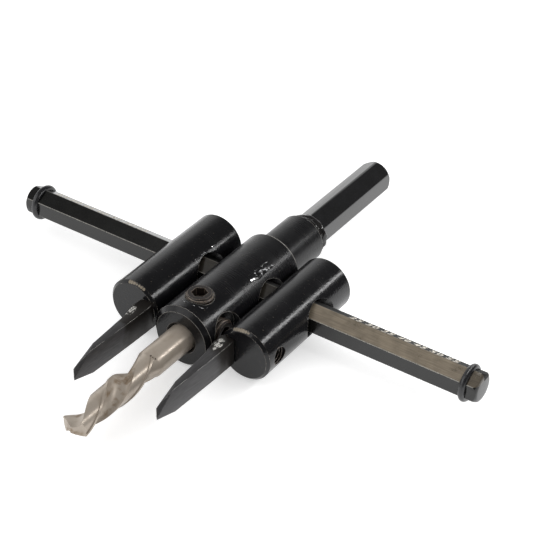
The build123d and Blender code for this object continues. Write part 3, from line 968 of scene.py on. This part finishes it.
def circle_through(first, second, third):
    """Centre and radius of the circle through three points."""
    (ax, ay), (bx, by), (cx, cy) = first, second, third
    double = 2 * (ax * (by - cy) + bx * (cy - ay) + cx * (ay - by))
    squares = [x * x + y * y for x, y in (first, second, third)]
    x = (squares[0] * (by - cy) + squares[1] * (cy - ay) + squares[2] * (ay - by)) / double
    y = (squares[0] * (cx - bx) + squares[1] * (ax - cx) + squares[2] * (bx - ax)) / double
    return (x, y), math.hypot(ax - x, ay - y)


def between(first, last, share):
    """Point at a share of the way from the first to the last."""
    return tuple(a + (b - a) * share for a, b in zip(first, last))


def section_of_drill(radius, body_radius, web, flute_angle, margin_angle):
    """Two-flute section of the drill as (angle, radius) points, right round."""
    lip = math.asin(web / radius)
    heel = lip + flute_angle
    wall_radius, wall_angle = 2.48, heel + radians(8)
    wall = (wall_radius * cos(wall_angle), wall_radius * sin(wall_angle))
    far = ((radius + 1) * cos(heel), (radius + 1) * sin(heel))
    share = 0.0
    while math.hypot(*between(wall, far, share)) < body_radius:
        share += 0.01
    corner = between(wall, far, share)
    # Relieved land, then the narrow margin that guides the drill
    land_start, margin_start = math.atan2(corner[1], corner[0]) - pi, lip - margin_angle
    half = [(land_start + (margin_start - land_start) * step / 16, body_radius) for step in range(17)]
    half += [(margin_start + margin_angle * step / 6, radius) for step in range(7)]
    # Flute: straight behind the lip, round at the web, straight up to the heel
    start, middle = (1.3, web), (-0.35, 1.2)
    lip_end = (sqrt(radius ** 2 - web ** 2), web)
    points = [between(lip_end, start, step / 8) for step in range(1, 9)]
    (x, y), arc_radius = circle_through(start, middle, wall)
    first, halfway, last = (math.atan2(v - y, u - x) for u, v in (start, middle, wall))
    if not min(first, last) < halfway < max(first, last):
        last += 2 * pi if last < first else -2 * pi
    for step in range(1, 23):
        turn = first + (last - first) * step / 22
        points.append((x + arc_radius * cos(turn), y + arc_radius * sin(turn)))
    points += [between(wall, corner, step / 5) for step in range(1, 5)]
    half += [(math.atan2(v, u), math.hypot(u, v)) for u, v in points]
    return half + [(angle + pi, reach) for angle, reach in half]


def drill_shape(size, material):
    """Two-flute twist drill: fluted, run out into the round shank, and pointed."""
    radius, body_radius, web = size.drill_radius, 3.66, 0.85
    tip, end, hand = size.drill_tip, size.drill_end, -1
    flute_length, runout, tail_chamfer = 32.5, 15.0, 0.5
    phase = radians(-38) - hand * math.asin(web / radius)
    section = section_of_drill(radius, body_radius, web, radians(106), radians(10))
    floor_centre, floor_radius = circle_through(
        (flute_length, radius), (flute_length - runout / 2, web + (radius - web) * 0.3),
        (flute_length - runout, web * 0.7),
    )

    def floor(depth):
        """Radius up to which the flutes are filled where they run out."""
        if depth <= flute_length - runout:
            return 0.0
        if depth >= flute_length:
            return radius
        rise = sqrt(max(0.0, floor_radius ** 2 - (depth - floor_centre[0]) ** 2))
        return floor_centre[1] - rise if floor_centre[1] > radius else floor_centre[1] + rise

    depths = [depth for depth in (0.38 * step for step in range(86)) if depth < flute_length]
    depths += [flute_length, 40.0, end - tip - tail_chamfer, end - tip]
    rings = []
    for depth in depths:
        filled = floor(depth)
        even = min(1.0, max(0.0, (filled - 1.8) / (body_radius - 1.8)))
        even = even * even * (3 - 2 * even)
        points = []
        for i, (angle, reach) in enumerate(section):
            # Spreads the points evenly where the flutes fill up
            steady = section[0][0] + 2 * pi * i / len(section)
            if reach < body_radius - 0.01 or even == 1:
                angle += (steady - angle) * even * 0.9
            reach = max(reach, filled) - (tail_chamfer if depth >= end - tip else 0)
            turn = hand * angle + phase
            points.append((reach * cos(turn), reach * sin(turn)))
        rings.append((points, tip + depth))
    shape = grown(
        "Flute helix", closed_rings(rings, "Y"),
        Lead=size.drill_lead, Hand=float(hand), Tip=tip, Fluted=flute_length, Material=material,
    )
    bmesh.ops.remove_doubles(shape, verts=shape.verts, dist=1e-4)
    # Point of 135 degrees with 12 degrees of relief
    rise, relief = 1 / math.tan(radians(135 / 2)), math.tan(radians(12))
    for side in (1, -1):
        along_lip = Matrix.Rotation(-phase, 3, "Y") @ Vector((side * rise, -1, side * -hand * relief))
        cut_open(shape, Vector((0, tip, 0)), along_lip)
    # Flat for the side screw, hidden in the hub
    flat_x, flat_front = radius - 0.8, -27.0
    for vertex in shape.verts:
        if vertex.co.y > flat_front and vertex.co.x > flat_x:
            vertex.co.x = flat_x
    return shape


def cut_open(shape, point, normal):
    """Cuts away what lies beyond a plane and closes the cut with flat faces."""
    geometry = shape.verts[:] + shape.edges[:] + shape.faces[:]
    cut = bmesh.ops.bisect_plane(
        shape, geom=geometry, plane_co=point, plane_no=normal.normalized(), clear_outer=True, dist=1e-5
    )
    rim = [item for item in cut["geom_cut"] if isinstance(item, bmesh.types.BMEdge)]
    bmesh.ops.triangle_fill(shape, use_beauty=True, edges=rim)
    bmesh.ops.recalc_face_normals(shape, faces=shape.faces)


def screw_shape(radius, run, pitch, socket, depth, material):
    """Grub screw along Z: rolled thread on a core, chamfered ends and a hexagon socket."""
    ridge = pitch * 0.3
    core = radius - ridge
    body = turned(
        [
            (core * CAP, 0), (core - 0.5, 0), (core, 0.5), (core, run - 0.45), (core - 0.3, run),
            (core * CAP, run),
        ],
        "Z", steps=72,
    )
    body = combined(body, [prism(hexagon(socket), run - depth, run + 1, "Z")])
    turns = (run - 1.1) / pitch
    thread = grown(
        "Thread helix", Radius=core, Pitch=pitch, Turns=turns, Ridge=ridge - 0.01, Material=material
    )
    return joined(body, shifted(thread, 0, 0, (run - turns * pitch) / 2))


def tapped_hole(radius, start, stop, pitch, material):
    """Thread crests in the wall of a tapped hole, along Z from start to stop."""
    thread = grown(
        "Thread helix", Radius=radius + pitch * 0.12, Pitch=pitch, Turns=(stop - start) / pitch,
        Ridge=pitch * 0.3, Material=material,
    )
    return shifted(thread, 0, 0, start)


def burr_shape(path, height, seed, material):
    """Burr along a path of points."""
    line = bmesh.new()
    points = [line.verts.new(point) for point in path]
    for first, second in zip(points, points[1:]):
        line.edges.new((first, second))
    scatter = min(0.14 + height / 3, 0.3)
    return grown("Torn burr", line, Height=height, Step=0.45, Scatter=scatter, Seed=seed, Material=material)


def torn_flap_shape(radius, angles, places):
    """Crumpled flap of metal that the broach has folded over on the hub, closed underneath."""
    across, along, height, sunk = 6, 10, 0.9, 0.6
    shape = bmesh.new()
    top, base = [], []
    for i in range(across + 1):
        rows = ([], [])
        for j in range(along + 1):
            u, v = i / across, j / along
            # The flap tapers to a point at both ends and is highest along its middle
            body = sin(pi * u) * sin(pi * v) ** 0.6
            crumple = noise.noise(Vector((u * 3.1, v * 4.3, 5.5)))
            lift = height * body * max(0.0, 0.5 + 1.6 * crumple)
            sway = 0.25 * noise.noise(Vector((v * 5, 1, 7)))
            angle = radians(angles[0] + (angles[1] - angles[0]) * (u + sway))
            y = places[0] + (places[1] - places[0]) * v
            for row, reach in zip(rows, (radius - 0.15 + lift, radius - sunk)):
                row.append(shape.verts.new((reach * cos(angle), y, reach * sin(angle))))
        top.append(rows[0])
        base.append(rows[1])
    for i in range(across):
        for j in range(along):
            shape.faces.new((top[i][j], top[i][j + 1], top[i + 1][j + 1]))
            shape.faces.new((top[i][j], top[i + 1][j + 1], top[i + 1][j]))
            shape.faces.new((base[i][j], base[i + 1][j], base[i + 1][j + 1], base[i][j + 1]))
    rim = [(i, 0) for i in range(across)] + [(across, j) for j in range(along)]
    rim += [(i, along) for i in range(across, 0, -1)] + [(0, j) for j in range(along, 0, -1)]
    for (a, b), (c, d) in zip(rim, rim[1:] + rim[:1]):
        shape.faces.new((top[a][b], top[c][d], base[c][d], base[a][b]))
    bmesh.ops.recalc_face_normals(shape, faces=shape.faces)
    return shape


def on_round(radius, places, x=0.0):
    """Points on a round piece from (angle in degrees, place along it)."""
    return [(x + radius * cos(radians(angle)), y, radius * sin(radians(angle))) for angle, y in places]


def number_shape(text, height, thickness):
    """Flat raised numeral on the XY plane, centred on its foot."""
    curve = bpy.data.curves.new("number", "FONT")
    curve.body = text
    curve.size = height / 0.7
    curve.align_x = "CENTER"
    curve.extrude = thickness / 2
    curve.offset = 0.03 * height
    curve.resolution_u = 3
    shape = as_shape(modified(curve))
    bmesh.ops.remove_doubles(shape, verts=shape.verts, dist=1e-4)
    # Narrow numerals, so that a gap parts each number from the next
    bmesh.ops.scale(shape, vec=(0.82, 1, 1), verts=shape.verts)
    return shape


def softened_copy(node, width):
    """Merged copy of a node's mesh with its edges rounded by a bevel."""
    shape = as_shape(frame["nodes"][node].data.copy())
    bmesh.ops.remove_doubles(shape, verts=shape.verts, dist=0.001 * MM)
    bmesh.ops.dissolve_limit(
        shape, angle_limit=radians(0.5), verts=shape.verts, edges=shape.edges, use_dissolve_boundaries=False
    )
    bevel = {"width": width, "segments": 2, "limit_method": "ANGLE", "angle_limit": radians(12)}
    return modified(as_mesh(shape), ("BEVEL", bevel))


# Operators


class CUTTER_OT_hub(bpy.types.Operator):
    """Hub and collar, blackened and oiled"""

    bl_idname = "circle_cutter.hub"
    bl_label = "Hub and collar"

    def execute(self, context):
        # Rear rims of hub and collar, with a painted highlight line most of the way round
        highlight_rims = [((9.3, 14.0, 0), 0.36), ((7.1, 30.3, 0), 0.3)]
        black = blackened_turned_steel("Blackened turned steel, hub", 0.0, [], -20.0, highlight_rims)
        dress(hub_shape(sizes()), "hub_and_collar", "hub_body", ["hub"], black)
        return {"FINISHED"}


class CUTTER_OT_posts(bpy.types.Operator):
    """The two sliding posts, blackened and oiled, with the threads of their tapped holes"""

    bl_idname = "circle_cutter.posts"
    bl_label = "Sliding posts"

    def execute(self, context):
        size = sizes()
        reach, front = size.post_radius - 0.3, size.post_front + 0.5
        worn_arcs = {"left": range(64, 104, 6), "right": range(82, 124, 6)}
        steel = finish_named("Oxide screw steel", oxide_screw_steel)
        for side, sign in SIGN.items():
            places = on_round(reach, [(angle, front) for angle in worn_arcs[side]])
            worn = [(place, 0.46) for place in places]
            black = blackened_turned_steel("Blackened turned steel, %s post" % side, POST_X[side], worn)
            shape = shifted(post_shape(size, sign), POST_X[side], 0, 0)
            body = side + "_post"
            dress(shape, "post_%s_turned" % side, body, ["post_" + side], black)
            side_thread = tapped_hole(M5_HOLE, 5.2, 7.4, size.pitch_m5, steel)
            turned_to(side_thread, (sign, 0, 0), Vector((POST_X[side], CUTTER_SCREW_Y, 0)))
            rear_thread = tapped_hole(M8_HOLE, 14.4, 15.6, size.pitch_m8, steel)
            turned_to(rear_thread, (0, 1, 0), Vector((POST_X[side], 0, 0)))
            dress(joined(side_thread, rear_thread), "post_%s_threads" % side, body, [], steel)
        return {"FINISHED"}


class CUTTER_OT_burrs(bpy.types.Operator):
    """Burrs that the broach and the tap have raised round the holes"""

    bl_idname = "circle_cutter.burrs"
    bl_label = "Burrs round the holes"

    def execute(self, context):
        size = sizes()
        steel = torn_burr_steel()
        hub, post = size.hub_radius - 0.05, size.post_radius - 0.05
        ring, round_screw = 5.1, []
        for turn in range(-150, -20, 10):
            x, y = ring * cos(radians(turn)), PILOT_SCREW_Y + ring * sin(radians(turn))
            round_screw.append((x, y, sqrt(hub ** 2 - x ** 2)))
        pieces = {
            "hub": [(on_round(hub, [(60, -4.4), (59, 1.0), (59, 6.4)]), 0.09), (round_screw, 0.07)],
            "left": [
                (on_round(post, [(46, -4.2), (46, 0), (47, 4.4)], POST_X["left"]), 0.14),
                (on_round(post, [(52, -24.7), (47, -24.9), (43, -24.8)], POST_X["left"]), 0.11),
            ],
            "right": [
                (on_round(post, [(51, -3.0), (44, -3.4), (34, -4.4), (22, -5.7)], POST_X["right"]), 0.1)
            ],
        }
        for name, burrs in pieces.items():
            body, slot = ("hub_body", "hub_black") if name == "hub" else (name + "_post", "post_black")
            shapes = [burr_shape(path, height, seed, steel) for seed, (path, height) in enumerate(burrs, 1)]
            if name == "hub":
                shapes.append(torn_flap_shape(hub, (62, 44), (-5.5, 6.6)))
            dress(joined(*shapes), "burrs_" + name, body, [], steel, 20)
        return {"FINISHED"}


class CUTTER_OT_shank(bpy.types.Operator):
    """Hexagon shank and the braze bead at its foot"""

    bl_idname = "circle_cutter.shank"
    bl_label = "Shank and braze bead"

    def execute(self, context):
        size = sizes()
        # Dim grey corner line: rubbed steel and a faint painted highlight
        steel = drawn_hexagon_steel(
            "Drawn shank steel", colours().shank_grey, linear("#4a4947"), 5.41, (1, 0, 1)
        )
        dress(shank_shape(size), "shank_hexagon", "hub_body", ["shank"], steel)
        dress(bead_shape(size), "braze_bead_lumpy", "hub_body", ["braze_bead"], fluxed_braze(), 60)
        return {"FINISHED"}


class CUTTER_OT_bar(bpy.types.Operator):
    """Cross bar, and the split rings at its ends"""

    bl_idname = "circle_cutter.bar"
    bl_label = "Cross bar and rings"

    def execute(self, context):
        size = sizes()
        # Light corner line: rubbed steel and a painted highlight along the side corners
        steel = drawn_hexagon_steel(
            "Blackened drawn bar with a brown bloom", colours().bar_black, linear("#cdc8be"), 4.59,
            (0, 1, 1), colours().bar_bloom,
        )
        dress(bar_shape(size), "cross_bar", "hub_body", ["arm_bar"], steel)
        wire = black_spring_wire()
        for side in SIGN:
            ring = ring_shape(size, side, wire)
            dress(ring, "end_ring_" + side, "hub_body", ["ring_" + side], wire)
        return {"FINISHED"}


class CUTTER_OT_scale(bpy.types.Operator):
    """Numbers and ticks of the scale on both arms of the cross bar"""

    bl_idname = "circle_cutter.scale"
    bl_label = "Scale on the bar"

    def execute(self, context):
        size = sizes()
        filling = scale_filling()
        flat, thick, height, tilt = size.bar_flats / 2, 0.05, 2.9, radians(30)
        offset, foot_y, tick_y = size.post_radius + 3.5, -1.9, 1.65
        # Cutting radius in mm; the outer face of the post stands at its number
        numbers = range(25, 60, 5)
        for side, sign in SIGN.items():
            parts = []
            for number in numbers:
                for place, digit in enumerate(str(number)):
                    x = sign * (number + offset) + (place - 0.5) * size.mark_spacing
                    parts.append(shifted(number_shape(digit, height, thick), x, foot_y, 0))
            ticks = grown(
                "Scale ticks", Count=5 * len(numbers), Spacing=sign * 1.0, Width=0.2, Length=0.5,
                Thickness=thick, Kept=0.85, Seed=4, Material=filling,
            )
            parts.append(shifted(ticks, sign * (numbers[0] + offset), tick_y, 0))
            row = joined(*parts)
            bmesh.ops.rotate(row, cent=(0, 0, 0), matrix=Matrix.Rotation(-tilt, 3, "X"), verts=row.verts)
            shifted(row, 0, sin(tilt) * flat, cos(tilt) * flat)
            dress(row, "scale_" + side, "hub_body", [], filling)
        return {"FINISHED"}


class CUTTER_OT_cutters(bpy.types.Operator):
    """The two ground cutters, with softened edges"""

    bl_idname = "circle_cutter.cutters"
    bl_label = "Cutters"

    def execute(self, context):
        # Chip spots with painted glints near each post, and where the darker root begins
        marks = {
            "left": (
                [((-1.2, -30.2, 3.8), 0.9), ((-1.3, -31.6, 3.8), 1.1), ((-1.2, -33.0, 3.7), 0.6)], -38.0
            ),
            "right": (
                [((-0.6, -27.6, 3.9), 0.8), ((-0.3, -29.7, 3.8), 1.1), ((-0.2, -31.5, 3.8), 0.7)], -33.0
            ),
        }
        for side, (chips_and_glints, root) in marks.items():
            node = "cutter_" + side
            x = POST_X[side] - SIGN[side] * CUTTER_INSET
            steel = ground_tool_steel("Ground tool steel, %s cutter" % side, x, root, chips_and_glints)
            mesh = softened_copy(node, 0.1 * MM)
            dress_mesh(mesh, node + "_ground", side + "_cutter", [node], steel)
        return {"FINISHED"}


class CUTTER_OT_drill(bpy.types.Operator):
    """Twist drill that pilots the cut"""

    bl_idname = "circle_cutter.drill"
    bl_label = "Pilot drill"

    def execute(self, context):
        steel = bright_high_speed_steel()
        dress(drill_shape(sizes(), steel), "twist_drill", "pilot", ["pilot_drill"], steel)
        return {"FINISHED"}


class CUTTER_OT_screws(bpy.types.Operator):
    """All grub screws, with rolled threads and hexagon sockets"""

    bl_idname = "circle_cutter.screws"
    bl_label = "Grub screws"

    def execute(self, context):
        size = sizes()
        steel = finish_named("Oxide screw steel", oxide_screw_steel)
        # Radius, pitch, socket across flats and socket depth in mm
        m8, m5 = (4.0, size.pitch_m8, 4.0, 2.6), (2.5, size.pitch_m5, 2.5, 2.2)
        screws = [
            ("pilot_screw_top", "top_pilot_screw", m8, (0, 0, 1)),
            ("pilot_screw_side", "side_pilot_screw", m8, (1, 0, 0)),
            ("bar_screw", "bar_lock_screw", m8, (0, -1, 0)),
            ("post_screw_left", "left_post_screw", m8, (0, 1, 0)),
            ("post_screw_right", "right_post_screw", m8, (0, 1, 0)),
            ("cutter_screw_left", "left_cutter_screw", m5, (-1, 0, 0)),
            ("cutter_screw_right", "right_cutter_screw", m5, (1, 0, 0)),
        ]
        for node, body, (radius, pitch, socket, depth), direction in screws:
            low, high = (IN_PLACE.inverted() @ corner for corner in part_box(node))
            facing = Vector(direction)
            run = abs((high - low).dot(facing))
            shape = screw_shape(radius, run, pitch, socket, depth, steel)
            turned_to(shape, direction, (low + high) / 2 - facing * run / 2)
            dress(shape, node + "_threaded", body, [node], steel)
        return {"FINISHED"}


class CUTTER_OT_stage(bpy.types.Operator):
    """White sweep, soft studio lamps and the camera"""

    bl_idname = "circle_cutter.stage"
    bl_label = "Stage"

    def execute(self, context):
        scene = context.scene
        shape = bmesh.new()
        bmesh.ops.create_grid(shape, x_segments=1, y_segments=1, size=4.0)
        mesh = as_mesh(shifted(shape, 0, 0, -0.02 * MM), "studio_floor")
        mesh.materials.append(white_sweep())
        floor = shown("studio_floor", mesh)
        studio_world(scene)
        lamps = [
            # Strip box along the tool, close by on the right: the sharp line along hub, posts and drill
            ("strip_box", (76, 46, 60), (0, 46, 0), (124, 12), 0.05),
            # Large fill from the front on the left
            ("front_fill", (-424, -735, 849), (0, 0, 0), (900, 900), 3.0),
        ]
        for name, place, target, (width, height), power in lamps:
            light = bpy.data.lights.new(name, "AREA")
            light.shape = "RECTANGLE"
            light.size, light.size_y = width * MM, height * MM
            light.energy = power
            lamp = shown(name, light)
            lamp.location = AXIS + Vector(place) * MM
            lamp.rotation_euler = (Vector(target) - Vector(place)).to_track_quat("-Z", "Y").to_euler()
            lamp.visible_camera = False
        lens = bpy.data.cameras.new("photo_camera")
        lens.sensor_width, lens.lens = 36.0, 111.19
        lens.clip_start, lens.clip_end = 0.01, 20.0
        camera = shown("photo_camera", lens)
        azimuth, elevation, roll = radians(32.99), radians(35.93), radians(1.81)
        distance, aside, above = 486.1, 10.39, 1.84
        back = Vector((sin(azimuth) * cos(elevation), -cos(azimuth) * cos(elevation), sin(elevation)))
        right = Vector((cos(azimuth), sin(azimuth), 0))
        up = back.cross(right)
        across = right * cos(roll) + up * sin(roll)
        upward = up * cos(roll) - right * sin(roll)
        place = AXIS + (back * distance + across * aside + upward * above) * MM
        turn = Matrix((across, upward, back)).transposed().to_4x4()
        camera.matrix_world = Matrix.Translation(place) @ turn
        scene.camera = camera
        scene.view_settings.view_transform = "Standard"
        return {"FINISHED"}


def studio_world(scene):
    """White to the camera; in gloss white at the horizon and dim overhead; even soft light otherwise."""
    world = bpy.data.worlds.new("Studio")
    scene.world = world
    world.use_nodes = True
    world.node_tree.nodes.clear()
    new = partial(add, world.node_tree)
    direction = new(SPLIT, new(COORDINATES).node.outputs["Generated"]).node.outputs
    # White wall on the left up to about 30 degrees, dark ceiling above and dark room on the right
    wall_top = new(RANGE, direction["Z"], 0.42, 0.7, 1.0, 0.0, interpolation_type="SMOOTHSTEP")
    wall_side = new(RANGE, direction["X"], 0.3, -0.1, interpolation_type="SMOOTHSTEP")
    wall = new(MULTIPLY, wall_top, wall_side)
    overhead = new(MULTIPLY_ADD, wall, 0.86, 0.14)
    path = new(PATH).node.outputs
    in_gloss = new(MAXIMUM, path["Is Glossy Ray"], path["Is Transmission Ray"])
    lighting = new(MIX, in_gloss, 0.8, overhead)
    strength = new(MIX, path["Is Camera Ray"], lighting, 1.0)
    new("ShaderNodeOutputWorld", new("ShaderNodeBackground", (1, 1, 1, 1), strength))


STEPS = (
    CUTTER_OT_hub, CUTTER_OT_posts, CUTTER_OT_burrs, CUTTER_OT_shank, CUTTER_OT_bar, CUTTER_OT_scale,
    CUTTER_OT_cutters, CUTTER_OT_drill, CUTTER_OT_screws, CUTTER_OT_stage,
)


class CUTTER_PT_panel(bpy.types.Panel):
    """Sizes, colours and build steps of the circle cutter"""

    bl_idname = "CUTTER_PT_panel"
    bl_label = "Circle Cutter"
    bl_space_type = "VIEW_3D"
    bl_region_type = "UI"
    bl_category = "Circle Cutter"

    def draw(self, context):
        for group, names in (
            (context.scene.circle_cutter_sizes, CUTTER_PG_sizes.__annotations__),
            (context.scene.circle_cutter_colours, CUTTER_PG_colours.__annotations__),
        ):
            box = self.layout.box()
            for name in names:
                box.prop(group, name)
        for step in STEPS:
            self.layout.operator(step.bl_idname)


CLASSES = (CUTTER_PG_sizes, CUTTER_PG_colours, *STEPS, CUTTER_PT_panel)


def register():
    """Registers the classes and their settings."""
    for cls in CLASSES:
        bpy.utils.register_class(cls)
    bpy.types.Scene.circle_cutter_sizes = bpy.props.PointerProperty(type=CUTTER_PG_sizes)
    bpy.types.Scene.circle_cutter_colours = bpy.props.PointerProperty(type=CUTTER_PG_colours)


def unregister():
    """Removes the settings and the classes."""
    del bpy.types.Scene.circle_cutter_colours
    del bpy.types.Scene.circle_cutter_sizes
    for cls in reversed(CLASSES):
        bpy.utils.unregister_class(cls)


def main():
    """Builds every piece and the stage."""
    register()
    for step in STEPS:
        group, name = step.bl_idname.split(".")
        getattr(getattr(bpy.ops, group), name)()


if __name__ == "__main__":
    main()
